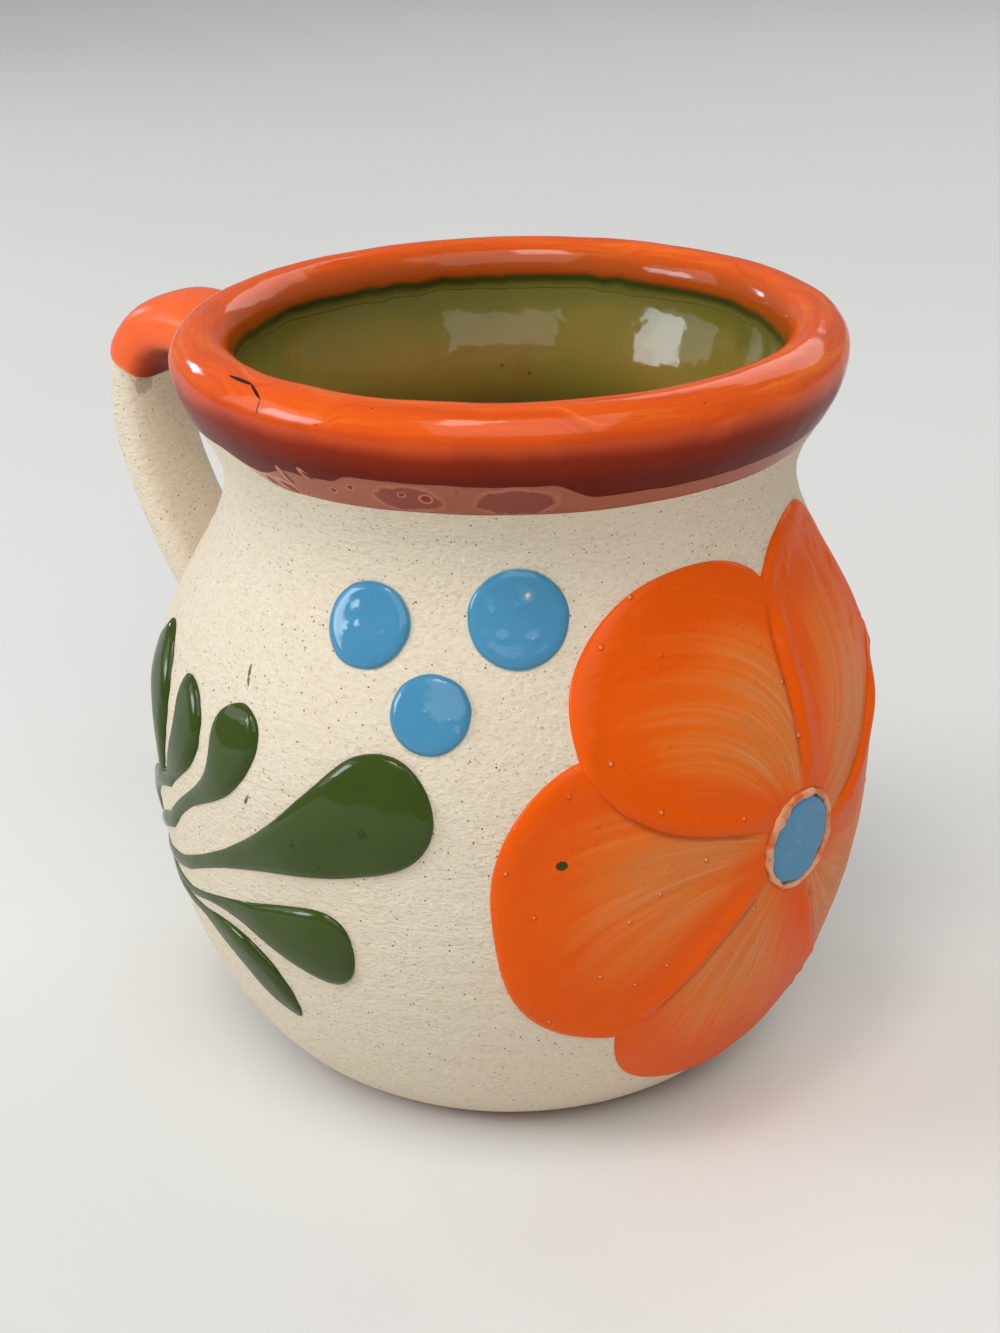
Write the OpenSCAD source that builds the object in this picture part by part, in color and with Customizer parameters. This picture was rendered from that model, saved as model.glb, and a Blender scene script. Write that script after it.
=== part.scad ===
// Hand-thrown clay mug with a rolled lip and a strap handle. The pot carries a slip coat, a
// glazed rim and lining, and raised dabs of paint: a flower, leaf sprays and dots.
// Millimetres, +Z up. The origin is the centre of the flat foot, the handle points along -X
// and the flower faces +X.

/* [Pot] */
// Height of the clay, foot to lip
pot_h = 101; // [94:0.5:110]
// Diameter of the clay at the belly
belly_d = 96.8; // [88:0.2:108]
// Height of the belly's widest point, as a share of the pot's height
belly_z_share = 0.426; // [0.38:0.002:0.48]
// Diameter of the flat foot
foot_d = 59; // [50:0.5:68]
// Step in from the belly's side to the neck's
neck_step = 11.5; // [8:0.1:15]
// Height of the neck's narrowest point, as a share of the pot's height
neck_z_share = 0.812; // [0.77:0.002:0.84]
// Step in from the belly's side to the rolled lip's
lip_step = 5.9; // [2:0.1:9]
// Thickness of the rolled lip
lip_t = 6.4; // [5:0.1:8]
// Thickness of the clay wall
wall_t = 5; // [3.5:0.1:6.5]
// Thickness of the clay floor
floor_t = 6.5; // [4:0.1:9]

/* [Coats] */
// Thickness of the slip on the outside
slip_t = 0.5; // [0.3:0.05:0.8]
// Height of bare clay left under the slip
bare_h = 1.4; // [1:0.1:3]
// Thickness of the rim's glaze over the clay
rim_glaze_t = 0.9; // [0.6:0.05:1.2]
// Depth of the rim's glaze and wash outside, below the lip
rim_drop = 12; // [9:0.5:15]
// Depth of the rim's glaze inside, below the lip
rim_drop_in = 6; // [4.5:0.5:9]
// Thickness of the wash under the rim's glaze
wash_t = 0.6; // [0.4:0.05:0.8]
// Width of the strip of wash that shows
wash_w = 2.6; // [1.5:0.1:4]
// Thickness of the lining's glaze
lining_t = 0.5; // [0.3:0.05:0.8]

/* [Handle] */
// Width of the strap
handle_w = 13.2; // [10:0.2:18]
// Thickness of the strap
handle_t = 8; // [6:0.2:11]
// Drop from the lip's top to where the strap's centreline starts in the shoulder
handle_top_drop = 30.5; // [27:0.5:35]
// Outward pull of the strap's upper curve
handle_top_out = 22.5; // [18:0.5:28]
// Upward pull of the strap's upper curve
handle_top_up = 42; // [38:0.5:47]
// Drop from the belly's widest point to where the strap's centreline ends
handle_foot_drop = 8; // [5:0.5:13]
// Outward pull of the strap's lower curve
handle_foot_out = 56.5; // [52:0.5:66]
// Upward pull of the strap's lower curve
handle_foot_up = 48; // [42:0.5:54]
// Thickness of the glaze on the strap's top
handle_glaze_t = 0.4; // [0.3:0.05:0.8]
// Thickness of the worked clay at the buried end of each joint
joint_flare = 4; // [3:0.1:5]
// Thickness of the worked clay at the outer end of each joint
joint_edge = 0.5; // [0.4:0.1:1]

/* [Paint] */
// Thickness of the raised dabs
paint_t = 0.8; // [0.5:0.05:1.2]
// Turn of the flower round the pot, from the +X axis
flower_turn = -3; // [-10:0.5:10]
// Reach of a petal from the flower's centre
petal_reach = 42.4; // [36:0.2:45]
// Reach of the notch between two petals
petal_notch = 34; // [28:0.5:35.5]
// Gap between neighbouring dabs of the flower
petal_gap = 0.5; // [0.3:0.1:1]
// Diameter of the flower's centre
eye_d = 11.6; // [8:0.2:15]
// Width of the ring round the flower's centre
eye_ring_w = 1; // [0.6:0.1:2]
// Diameter of the largest dot
dot_d = 12.5; // [9:0.5:14]
// Further turn of the far side's dots towards the handle
far_dot_turn = 15; // [12:0.5:18]
// Gap between the petals' reach and the tip of the largest leaf
leaf_gap = 10; // [6:0.2:12]
// Reach of the largest leaf from the spray's root
leaf_reach = 62.8; // [56:0.2:66]
// Width of the largest leaf
leaf_w = 14; // [11:0.5:17]
// Distance from the spray's root at which the stems start
stem_start = 10; // [8:0.5:14]
// Width of a stem
stem_w = 1.6; // [1:0.1:2]

/* [Hidden] */
$fn = 128;
petal_count = 5;
dot_count = 3;
leaf_count = 6;

clay_colour = [0.63, 0.36, 0.23];
slip_colour = [0.88, 0.82, 0.73];
lining_colour = [0.39, 0.38, 0.17];
rim_colour = [0.82, 0.23, 0.07];
wash_colour = [0.91, 0.62, 0.47];
petal_colour = [0.90, 0.42, 0.14];
blue_colour = [0.27, 0.54, 0.74];
leaf_colour = [0.20, 0.31, 0.15];

// Radii and heights of the pot
belly_r = belly_d / 2;
foot_r = foot_d / 2;
neck_r = belly_r - neck_step;
lip_r = belly_r - lip_step;
belly_z = belly_z_share * pot_h;
neck_z = neck_z_share * pot_h;
lip_z = pot_h - lip_t / 2;
glaze_z = pot_h - rim_drop + wash_w;
wash_z = pot_h - rim_drop;
glaze_in_z = pot_h - rim_drop_in;

// Shape of the pot's curves: powers of the bowl and shoulder, and the steps along each stretch
bowl_power_share = 2 / 3;
shoulder_power_share = 3 / 2;
bowl_steps = 14;
shoulder_steps = 14;
throat_steps = 4;
foot_steps = 3;
lip_steps = 12;

function ease(t) = (1 - cos(180 * t)) / 2;
function bowl(t) = pow(1 - pow(1 - t, 2), bowl_power_share);
function shoulder(t) = ease(pow(t, shoulder_power_share));
function steps(from, to, count) = [for (i = [1 : count]) from + (to - from) * i / count];
function growing_steps(from, to, count) = [for (i = [1 : count]) from + (to - from) * pow(i / count, 2)];
function backwards(list) = [for (i = [len(list) - 1 : -1 : 0]) list[i]];

// Radius of a wall of the pot from its widest, narrowest, foot and lip radii
function wall_r(z, foot_z, at_foot, at_belly, at_neck, at_lip) =
    z <= belly_z ? at_foot + (at_belly - at_foot) * bowl(max(0, z - foot_z) / (belly_z - foot_z))
    : z <= neck_z ? at_belly - (at_belly - at_neck) * shoulder((z - belly_z) / (neck_z - belly_z))
    : at_neck + (at_lip - at_neck) * ease((z - neck_z) / (lip_z - neck_z));
function clay_r(z) = wall_r(z, 0, foot_r, belly_r, neck_r, lip_r);
function bore_r(z) = wall_r(z, floor_t, foot_r, belly_r - wall_t, neck_r - wall_t, lip_r - lip_t);
function slip_r(z) = clay_r(z) + slip_t;

// Heights along the outside and the inside
foot_heights = concat([0], growing_steps(0, bare_h, foot_steps));
slip_heights = concat(
    [bare_h],
    growing_steps(bare_h, belly_z, bowl_steps),
    steps(belly_z, neck_z, shoulder_steps),
    steps(neck_z, wash_z, throat_steps)
);
wash_heights = concat([wash_z], steps(wash_z, glaze_z, throat_steps));
rim_heights = concat([glaze_z], steps(glaze_z, lip_z, throat_steps));
lining_heights = concat(
    [floor_t],
    growing_steps(floor_t, belly_z, bowl_steps),
    steps(belly_z, neck_z, shoulder_steps),
    steps(neck_z, glaze_in_z, throat_steps)
);
lip_in_heights = concat([glaze_in_z], steps(glaze_in_z, lip_z, throat_steps));

function outside(heights, grow) = [for (z = heights) [clay_r(z) + grow, z]];
function inside(heights, grow) = [for (z = heights) [bore_r(z) - grow, z]];
function lip(grow) = [
    for (i = [1 : lip_steps - 1])
        let (turn = 180 * i / lip_steps, r = lip_t / 2 + grow)
        [lip_r - lip_t / 2 + r * cos(turn), lip_z + r * sin(turn)]
];
// One face of a coat that runs up the outside, over the lip and down the inside
function over_lip(grow) =
    concat(outside(rim_heights, grow), lip(grow), backwards(inside(lip_in_heights, grow)));

module coat(heights, from, to) {
    rotate_extrude()
        polygon(concat(outside(heights, to), backwards(outside(heights, from))));
}

// The outside of the clay, filled in
module clay_solid() {
    rotate_extrude()
        polygon(concat(
            [[0, 0]],
            outside(foot_heights, 0),
            outside(slip_heights, 0),
            outside(wash_heights, 0),
            outside(rim_heights, 0),
            [[0, lip_z]]
        ));
}

// Handle: a strap swept along one curve in the XZ plane
handle_sink = wall_t + slip_t + wash_t;
handle_rings = 30;
handle_sides = 20;
section_power_share = 0.77;
glaze_ring_shares = [0.14, 0.57];
joint_ring_shares = [0.17, 0.88];
joint_steps = 4;
handle_top_z = pot_h - handle_top_drop;
handle_foot_z = belly_z - handle_foot_drop;
handle_start = [clay_r(handle_top_z) - handle_sink, handle_top_z];
handle_end = [clay_r(handle_foot_z) - handle_sink, handle_foot_z];
handle_curve = [
    handle_start,
    handle_start + [handle_top_out, handle_top_up],
    handle_end + [handle_foot_out, handle_foot_up],
    handle_end
];

function curve_at(c, t) = pow(1 - t, 3) * c[0] + 3 * t * pow(1 - t, 2) * c[1]
    + 3 * t * t * (1 - t) * c[2] + pow(t, 3) * c[3];
function heading_at(c, t) = let (
    d = pow(1 - t, 2) * (c[1] - c[0]) + 2 * t * (1 - t) * (c[2] - c[1]) + t * t * (c[3] - c[2])
) d / norm(d);
function rounded(x) = sign(x) * pow(abs(x), section_power_share);

// One ring of the strap's section at share t of the curve, thicker by grow on every side
function strap_ring(t, grow) = let (
    p = curve_at(handle_curve, t),
    h = heading_at(handle_curve, t),
    across = handle_w / 2 + grow,
    deep = handle_t / 2 + grow
) [
    for (j = [0 : handle_sides - 1])
        let (turn = 360 * j / handle_sides, out = deep * rounded(sin(turn)))
        [-(p[0] - h[1] * out), across * rounded(cos(turn)), p[1] + h[0] * out]
];

module tube(rings) {
    n = len(rings[0]);
    last = len(rings) - 1;
    sides = [
        for (i = [0 : last - 1]) for (j = [0 : n - 1])
            let (k = (j + 1) % n)
            each [[i * n + j, i * n + k, i * n + n + k], [i * n + j, i * n + n + k, i * n + n + j]]
    ];
    start_cap = [for (j = [1 : n - 2]) [0, j + 1, j]];
    end_cap = [for (j = [1 : n - 2]) [last * n, last * n + j, last * n + j + 1]];
    polyhedron(points = [for (ring = rings) each ring], faces = concat(start_cap, sides, end_cap));
}

module strap(from_share, to_share, grow) {
    first = round(from_share * handle_rings);
    last = round(to_share * handle_rings);
    tube([for (i = [first : last]) strap_ring(i / handle_rings, grow)]);
}

// The clay worked round one end of the strap, with the strap's own space still in it
module joint_blank(outer_share, buried_share) {
    tube([
        for (i = [0 : joint_steps])
            let (s = buried_share > outer_share ? i / joint_steps : 1 - i / joint_steps)
            strap_ring(
                outer_share + (buried_share - outer_share) * s,
                joint_edge + (joint_flare - joint_edge) * s
            )
    ]);
}
module upper_joint_blank() { joint_blank(joint_ring_shares[0], 0); }
module lower_joint_blank() { joint_blank(joint_ring_shares[1], 1); }

// Distance along the slip, up and down from the belly, and the height found there
slip_points = outside(slip_heights, slip_t);
function run_to(i) = i == 0 ? 0 : run_to(i - 1) + norm(slip_points[i] - slip_points[i - 1]);
run_heights = [for (i = [0 : len(slip_points) - 1]) [run_to(i) - run_to(bowl_steps), slip_heights[i]]];
degrees_per_radian = 180 / PI;

// The height and the turn at which a point of the paint's flat drawing lies on the slip, when the
// drawing is laid round a home [turn, run]
function laid_z(p, home) = lookup(home[1] + p[1], run_heights);
function laid_turn(p, home) = home[0] + p[0] / slip_r(laid_z(p, home)) * degrees_per_radian;
// The same point seen along aim
function laid(p, home, aim) = let (z = laid_z(p, home)) [slip_r(z) * sin(laid_turn(p, home) - aim), z];

// Raised paint: a skin over the slip, cut to an outline seen along aim
module paint(outline, aim) {
    intersection() {
        coat(slip_heights, slip_t, slip_t + paint_t);
        rotate([0, 0, aim])
            rotate([90, 0, 90])
                linear_extrude(belly_d)
                    polygon(outline);
    }
}

// A round dab on the slip, square to it at its centre
module round_dab(turn, z, d) {
    lean = atan2(slip_r(z - slip_t) - slip_r(z + slip_t), slip_t + slip_t);
    intersection() {
        coat(slip_heights, slip_t, slip_t + paint_t);
        rotate([0, 0, turn])
            translate([slip_r(z), 0, z])
                rotate([0, 90 - lean, 0])
                    cylinder(d = d, h = d, center = true);
    }
}

// Flower: each petal is a lobe between two notches, which lie in these directions from the centre,
// and stands out from them by a share of the usual lobe
flower_home = [flower_turn, 0];
notch_angles = [32, 84.5, 150, 222.5, 302, 392];
petal_lobe_shares = [1, 0.72, 1.05, 0.57, 0.95];
petal_lobe_power = 2.5;
petal_steps = 14;
ring_d = eye_d + 2 * eye_ring_w;

// A flat point at an angle and a distance from the home, and a flat point turned round the home
function flat(angle, distance) = [distance * cos(angle), distance * sin(angle)];
function turned(p, angle) = [p[0] * cos(angle) - p[1] * sin(angle), p[0] * sin(angle) + p[1] * cos(angle)];
function petal_r(k, share) = let (lobe = petal_lobe_shares[k - 1] * (petal_reach - petal_notch))
    petal_notch + lobe * (1 - pow(abs(share), petal_lobe_power));
function petal_outline(k) = let (
    middle = (notch_angles[k] + notch_angles[k - 1]) / 2,
    spread = (notch_angles[k] - notch_angles[k - 1]) / 2,
    half = spread - asin(petal_gap / 2 / petal_notch)
) concat(
    [flat(middle, petal_gap / 2 / sin(spread))],
    [
        for (i = [-petal_steps : petal_steps])
            flat(middle + half * i / petal_steps, petal_r(k, i / petal_steps))
    ]
);

module radial_cylinder(d) {
    rotate([0, 0, flower_turn])
        translate([0, 0, belly_z])
            rotate([0, 90, 0])
                cylinder(d = d, h = belly_d);
}

module petal(k) {
    color(petal_colour)
        difference() {
            paint([for (p = petal_outline(k)) laid(p, flower_home, flower_turn)], flower_turn);
            radial_cylinder(ring_d + 2 * petal_gap);
        }
}

module flower_ring() {
    color(wash_colour)
        difference() {
            intersection() {
                coat(slip_heights, slip_t, slip_t + paint_t);
                radial_cylinder(ring_d);
            }
            radial_cylinder(eye_d);
        }
}

module flower_centre() {
    color(blue_colour)
        intersection() {
            coat(slip_heights, slip_t, slip_t + paint_t);
            radial_cylinder(eye_d);
        }
}

// Dots: direction from the flower's centre, how far a dot's centre lies beyond the petals' reach,
// and diameter as a share of the largest
dot_angles = [132.2, 146.4, 153];
dot_gaps = [4.6, 17.5, 9.3];
dot_shares = [1, 0.86, 0.82];

module dot_near(k) {
    place = flat(dot_angles[k - 1], petal_reach + dot_gaps[k - 1]);
    color(blue_colour)
        round_dab(laid_turn(place, flower_home), laid_z(place, flower_home), dot_shares[k - 1] * dot_d);
}

module dot_far(k) {
    rotate([0, 0, far_dot_turn])
        mirror([0, 1, 0])
            dot_near(k);
}

// Leaves: direction from the spray's root, reach as a share of the largest leaf's, and width as a
// share of the widest. The largest leaf's tip lies off the petals, and the root is found back from it.
leaf_tip_angle = 164.9;
leaf_angles = [26, 4.5, -17, 46, 61.5, 83];
leaf_reach_shares = [1, 0.76, 0.55, 0.69, 0.59, 0.59];
leaf_width_shares = [1, 0.71, 0.46, 0.66, 0.5, 0.53];
leaf_swell_power = 2.4;
leaf_tip_power = 0.4;
leaf_steps = 9;
leaf_widest_share = leaf_swell_power / (leaf_swell_power + leaf_tip_power);
tip_place = flat(leaf_tip_angle, petal_reach + leaf_gap);
spray_home = laid_back(flat(leaf_angles[0], leaf_reach));

// The home [turn, run] from which a flat point reaches the largest leaf's tip
function laid_back(p) = [
    laid_turn(tip_place, flower_home)
        - p[0] / slip_r(laid_z(tip_place, flower_home)) * degrees_per_radian,
    flower_home[1] + tip_place[1] - p[1]
];

function leaf_shape(s) = pow(s, leaf_swell_power) * pow(1 - s, leaf_tip_power);
function leaf_outline(angle, reach, width) = let (
    shares = [for (i = [0 : leaf_steps]) 1 - pow(1 - i / leaf_steps, 2)],
    along = [for (s = shares) stem_start + (reach - stem_start) * s],
    half = [
        for (s = shares)
            stem_w / 2 * (1 - s) + width / 2 * leaf_shape(s) / leaf_shape(leaf_widest_share)
    ],
    edge = concat(
        [for (i = [0 : leaf_steps - 1]) [along[i], -half[i]]],
        [for (i = [leaf_steps : -1 : 0]) [along[i], half[i]]]
    )
) [for (p = edge) turned(p, angle)];

module leaf_near(k) {
    angle = leaf_angles[k - 1];
    reach = leaf_reach_shares[k - 1] * leaf_reach;
    aim = spray_home[0] + reach * cos(angle) / 2 / belly_r * degrees_per_radian;
    outline = leaf_outline(angle, reach, leaf_width_shares[k - 1] * leaf_w);
    color(leaf_colour)
        paint([for (p = outline) laid(p, spray_home, aim)], aim);
}

module clay_body() {
    color(clay_colour)
        rotate_extrude()
            polygon(concat(
                [[0, 0]],
                outside(foot_heights, 0),
                outside(slip_heights, 0),
                outside(wash_heights, 0),
                over_lip(0),
                backwards(inside(lining_heights, 0)),
                [[0, floor_t]]
            ));
}

module slip_coat() {
    color(slip_colour)
        difference() {
            coat(slip_heights, 0, slip_t);
            upper_joint_blank();
            lower_joint_blank();
        }
}

module rim_wash() {
    color(wash_colour)
        difference() {
            coat(wash_heights, 0, wash_t);
            upper_joint_blank();
        }
}

module rim_glaze() {
    color(rim_colour)
        rotate_extrude()
            polygon(concat(over_lip(rim_glaze_t), backwards(over_lip(0))));
}

module inner_glaze() {
    raised = floor_t + lining_t;
    raised_heights = concat([raised], [for (z = lining_heights) if (z > raised) z]);
    color(lining_colour)
        rotate_extrude()
            polygon(concat(
                [[0, floor_t]],
                inside(lining_heights, 0),
                backwards(inside(raised_heights, lining_t)),
                [[0, raised]]
            ));
}

module handle() {
    color(slip_colour)
        difference() {
            strap(0, 1, 0);
            clay_solid();
        }
}

module handle_glaze() {
    color(rim_colour)
        difference() {
            strap(glaze_ring_shares[0], glaze_ring_shares[1], handle_glaze_t);
            strap(0, 1, 0);
            upper_joint_blank();
        }
}

module upper_slip_joint() {
    color(slip_colour)
        difference() {
            upper_joint_blank();
            strap(0, 1, 0);
            clay_solid();
        }
}

module lower_slip_joint() {
    color(slip_colour)
        difference() {
            lower_joint_blank();
            strap(0, 1, 0);
            clay_solid();
        }
}

clay_body();
slip_coat();
inner_glaze();
rim_wash();
rim_glaze();
handle();
handle_glaze();
upper_slip_joint();
lower_slip_joint();
flower_ring();
flower_centre();
for (k = [1 : petal_count])
    petal(k);
for (k = [1 : dot_count]) {
    dot_near(k);
    dot_far(k);
}
for (k = [1 : leaf_count]) {
    leaf_near(k);
    mirror([0, 1, 0]) leaf_near(k);
}
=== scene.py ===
import math

import bmesh
import bpy
import numpy as np
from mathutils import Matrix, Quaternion, Vector, noise


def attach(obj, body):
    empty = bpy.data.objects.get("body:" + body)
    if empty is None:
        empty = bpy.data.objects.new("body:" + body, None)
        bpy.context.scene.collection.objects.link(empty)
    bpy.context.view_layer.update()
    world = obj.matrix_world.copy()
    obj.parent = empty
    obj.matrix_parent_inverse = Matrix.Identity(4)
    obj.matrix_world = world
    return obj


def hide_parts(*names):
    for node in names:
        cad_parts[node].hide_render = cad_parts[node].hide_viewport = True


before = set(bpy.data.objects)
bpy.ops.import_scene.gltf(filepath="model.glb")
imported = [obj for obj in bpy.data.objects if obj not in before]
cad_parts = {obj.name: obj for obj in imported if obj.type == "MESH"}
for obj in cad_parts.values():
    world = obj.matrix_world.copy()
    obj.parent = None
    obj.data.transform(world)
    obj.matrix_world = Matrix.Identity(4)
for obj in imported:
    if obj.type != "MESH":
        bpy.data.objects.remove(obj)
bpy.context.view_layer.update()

# Sizes are in millimetres and turns in degrees, in the frame of the CAD part, unless a line says otherwise.
MM = 0.001
POT_H, FLOOR_T, WALL_T = 101.0, 6.5, 5.0
FOOT_R, BELLY_R, NECK_R, LIP_R = 29.5, 48.4, 36.9, 42.5
BELLY_Z, NECK_Z = 0.426 * POT_H, 0.812 * POT_H
LIP_T = 6.4
LIP_Z = POT_H - LIP_T / 2
SLIP_T, WASH_T, RIM_T, LINING_T, HANDLE_GLAZE_T = 0.5, 0.6, 0.9, 0.5, 0.4
BARE_H, WASH_Z, GLAZE_Z, GLAZE_IN_Z = 1.4, 89.0, 91.6, 95.0
HANDLE_W, HANDLE_T, SECTION_POWER = 13.2, 8.0, 0.77
PAINT_T = 0.8
FLOWER_TURN = -3.0

# The thrown pot leans up towards this turn, from a share of its height on, and is a little oval.
LEAN, LEAN_TURN, LEAN_FROM = 0.018, 40.0, 0.3
OVAL, OVAL_TURN = 0.15, 25.0

# How deep the hidden back of a coat or dab is sunk, and the small gap that keeps surfaces apart
SUNK, CLEAR = 0.3, 0.02

# Edges that turn by more than this are shaded sharp.
SHARP_TURN = 60.0


def ease(t):
    """A soft start and end between 0 and 1."""
    return (1 - np.cos(np.pi * t)) / 2


def bowl(t):
    """The swell of the pot's lower wall between 0 and 1."""
    return (1 - (1 - t) ** 2) ** (2 / 3)


def smooth(low, high, x):
    """A smooth step of x from 0 at low to 1 at high."""
    t = np.clip((x - low) / (high - low), 0, 1)
    return t * t * (3 - 2 * t)


def hump(distance, width):
    """A soft bell that is 1 at no distance and falls off over the width."""
    return np.exp(-((distance / width) ** 2))


def all_round(count):
    """Turns in radians, evenly round a circle."""
    return np.linspace(0, 2 * np.pi, count, endpoint=False)


def two_runs(start, middle, end, first, second):
    """Numbers from start over middle to end, in two even runs."""
    return np.hstack([np.linspace(start, middle, first), np.linspace(middle, end, second)[1:]])


def wall_r(z, foot_z, at_foot, at_belly, at_neck, at_lip):
    """Radius of one wall of the pot at the heights z."""
    z = np.asarray(z, float)
    low = at_foot + (at_belly - at_foot) * bowl(np.clip((z - foot_z) / (BELLY_Z - foot_z), 0, 1))
    mid = at_belly - (at_belly - at_neck) * ease(np.clip((z - BELLY_Z) / (NECK_Z - BELLY_Z), 0, 1) ** 1.5)
    top = at_neck + (at_lip - at_neck) * ease(np.clip((z - NECK_Z) / (LIP_Z - NECK_Z), 0, 1))
    return np.where(z <= BELLY_Z, low, np.where(z <= NECK_Z, mid, top))


def clay_r(z):
    return wall_r(z, 0, FOOT_R, BELLY_R, NECK_R, LIP_R)


def bore_r(z):
    return wall_r(z, FLOOR_T, FOOT_R, BELLY_R - WALL_T, NECK_R - WALL_T, LIP_R - LIP_T)


def lip_arc(count):
    """Points (r, z) over the rolled lip, from the outside to the inside."""
    turn = np.pi * np.arange(1, count) / count
    r = LIP_T / 2
    return LIP_R - r + r * np.cos(turn), LIP_Z + r * np.sin(turn)


def placed(r, turn, z):
    """Points at a radius, a turn in radians and a height, with the pot's lean and oval."""
    r = r + OVAL * np.cos(2 * (turn - math.radians(OVAL_TURN))) * np.clip(z / POT_H, 0, 1)
    x, y = r * np.cos(turn), r * np.sin(turn)
    return leaning(np.stack(np.broadcast_arrays(x, y, z), -1))


def leaning(points):
    """Points raised or lowered by the pot's lean."""
    out = np.array(points, float)
    share = np.clip((out[..., 2] / POT_H - LEAN_FROM) / (1 - LEAN_FROM), 0, 1)
    a = math.radians(LEAN_TURN)
    out[..., 2] += LEAN * share * (out[..., 0] * math.cos(a) + out[..., 1] * math.sin(a))
    return out


def wave(points, size, seed):
    """Smooth noise from about -1 to 1 at points, with lumps of about that size."""
    flat = np.asarray(points, float).reshape(-1, 3) / size + np.array([seed * 7.3, seed * 3.1, seed * 5.7])
    values = np.fromiter((noise.noise(Vector(p)) for p in flat), float, len(flat))
    return values.reshape(np.shape(points)[:-1])


def on_circle(turns):
    """Points of a flat unit circle at turns in radians."""
    return np.stack([np.cos(turns), np.sin(turns), 0 * turns], -1)


def round_wave(turns, size, seed):
    """Smooth noise round the rim at turns in radians."""
    return wave(LIP_R * on_circle(turns), size, seed)


# Meshes


def grid_faces(rows, cols, wrap_rows=False, wrap_cols=False, start=0):
    """Quads over a grid of points, open or closed round its rows and columns."""
    row_steps, col_steps = rows - (not wrap_rows), cols - (not wrap_cols)
    i, j = np.meshgrid(np.arange(row_steps), np.arange(col_steps), indexing="ij")
    i2, j2 = (i + 1) % rows, (j + 1) % cols
    quads = np.stack([i * cols + j, i * cols + j2, i2 * cols + j2, i2 * cols + j], -1)
    return (quads.reshape(-1, 4) + start).tolist()


def linked(name, data):
    """A new object in the scene with this mesh, lamp or camera."""
    thing = bpy.data.objects.new(name, data)
    bpy.context.scene.collection.objects.link(thing)
    return thing


def add_piece(name, points, faces, material, node, values=None):
    """Adds a closed mesh as a piece. values holds a number or vector per point for its material."""
    points = np.reshape(points, (-1, 3))
    mesh = bpy.data.meshes.new(name)
    mesh.from_pydata((points * MM).tolist(), [], faces)
    for key, data in (values or {}).items():
        kind, field = ("FLOAT", "value") if np.size(data) == len(points) else ("FLOAT_VECTOR", "vector")
        mesh.attributes.new(key, kind, "POINT").data.foreach_set(field, np.asarray(data, float).ravel())
    work = bmesh.new()
    work.from_mesh(mesh)
    bmesh.ops.recalc_face_normals(work, faces=work.faces)
    work.to_mesh(mesh)
    work.free()
    mesh.shade_smooth()
    mesh.set_sharp_from_angle(angle=math.radians(SHARP_TURN))
    mesh.materials.append(material)
    piece = linked(name, mesh)
    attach(piece, "root")
    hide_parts(node)


def add_ring(name, loop_r, loop_z, turns, material, node, values=None):
    """A coat round the pot: closed section loops, one row for each turn."""
    points = placed(loop_r, turns, loop_z)
    add_piece(name, points, grid_faces(*loop_r.shape, True, True), material, node, values)


def add_turned(name, r, z, material, node, segments, values=None):
    """A solid turned on the pot's axis, from a section whose two ends lie on the axis."""
    body = placed(r[1:-1], all_round(segments)[:, None], z[1:-1])
    cols = len(r) - 2
    ends = [[0, 0, z[0]], [0, 0, z[-1]]]
    points = np.concatenate([body.reshape(-1, 3), leaning(ends)])
    faces = grid_faces(segments, cols, True, False)
    first, last = segments * cols, segments * cols + 1
    for i in range(segments):
        k = (i + 1) % segments
        faces.append([first, k * cols, i * cols])
        faces.append([last, i * cols + cols - 1, k * cols + cols - 1])
    flat = {}
    for key, data in (values or {}).items():
        flat[key] = np.hstack([np.tile(data[1:-1], segments), [data[0], data[-1]]])
    add_piece(name, points, faces, material, node, flat)


def with_back(r, z, low, top, count):
    """Section loops of a coat outside: its face, and a back that is sunk into the clay."""
    back_z = low + (top - low) * np.linspace(1, 0, count)
    return np.hstack([r, clay_r(back_z) - SUNK]), np.hstack([z, back_z])


def shell_faces(rows, cols):
    """Faces of a top and a bottom grid, closed round the edge."""
    n = rows * cols
    faces = grid_faces(rows, cols) + grid_faces(rows, cols, start=n)
    edge = list(range(cols)) + [i * cols + cols - 1 for i in range(1, rows)]
    edge += [(rows - 1) * cols + j for j in range(cols - 2, -1, -1)]
    edge += [i * cols for i in range(rows - 2, 0, -1)]
    for a, b in zip(edge, edge[1:] + edge[:1]):
        faces.append([a, b, n + b, n + a])
    return faces


# Paint is drawn flat, in mm to the side and up the slip, and laid on the pot round its home. A home is a turn
# and a run, which is the way up the slip from the belly.
RUN_Z = np.linspace(BARE_H, GLAZE_Z, 1200)
RUN_R = clay_r(RUN_Z) + SLIP_T
RUN = np.hstack([[0], np.cumsum(np.hypot(np.diff(RUN_Z), np.diff(RUN_R)))])
RUN -= np.interp(BELLY_Z, RUN_Z, RUN)
SLOPE_R, SLOPE_Z = np.gradient(RUN_R, RUN), np.gradient(RUN_Z, RUN)
FLOWER_HOME = (FLOWER_TURN, 0.0)


def run_at(z):
    return float(np.interp(z, RUN_Z, RUN))


def laid(side, up, home, height, mirrored=False):
    """Flat points laid on the slip round a home and raised by height."""
    turn, run = home
    s = run + up
    z, r = np.interp(s, RUN, RUN_Z), np.interp(s, RUN, RUN_R)
    a = math.radians(turn) + side / r
    out_r, out_z = np.interp(s, RUN, SLOPE_Z), -np.interp(s, RUN, SLOPE_R)
    return placed(r + height * out_r, -a if mirrored else a, z + height * out_z)


def rounded_edge(distance, width):
    """Height share of a paint edge: a quarter round that is full at width from the edge."""
    t = np.clip(distance / width, 0, 1)
    return np.sqrt(np.clip(1 - (1 - t) ** 2, 0, 1))


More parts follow.
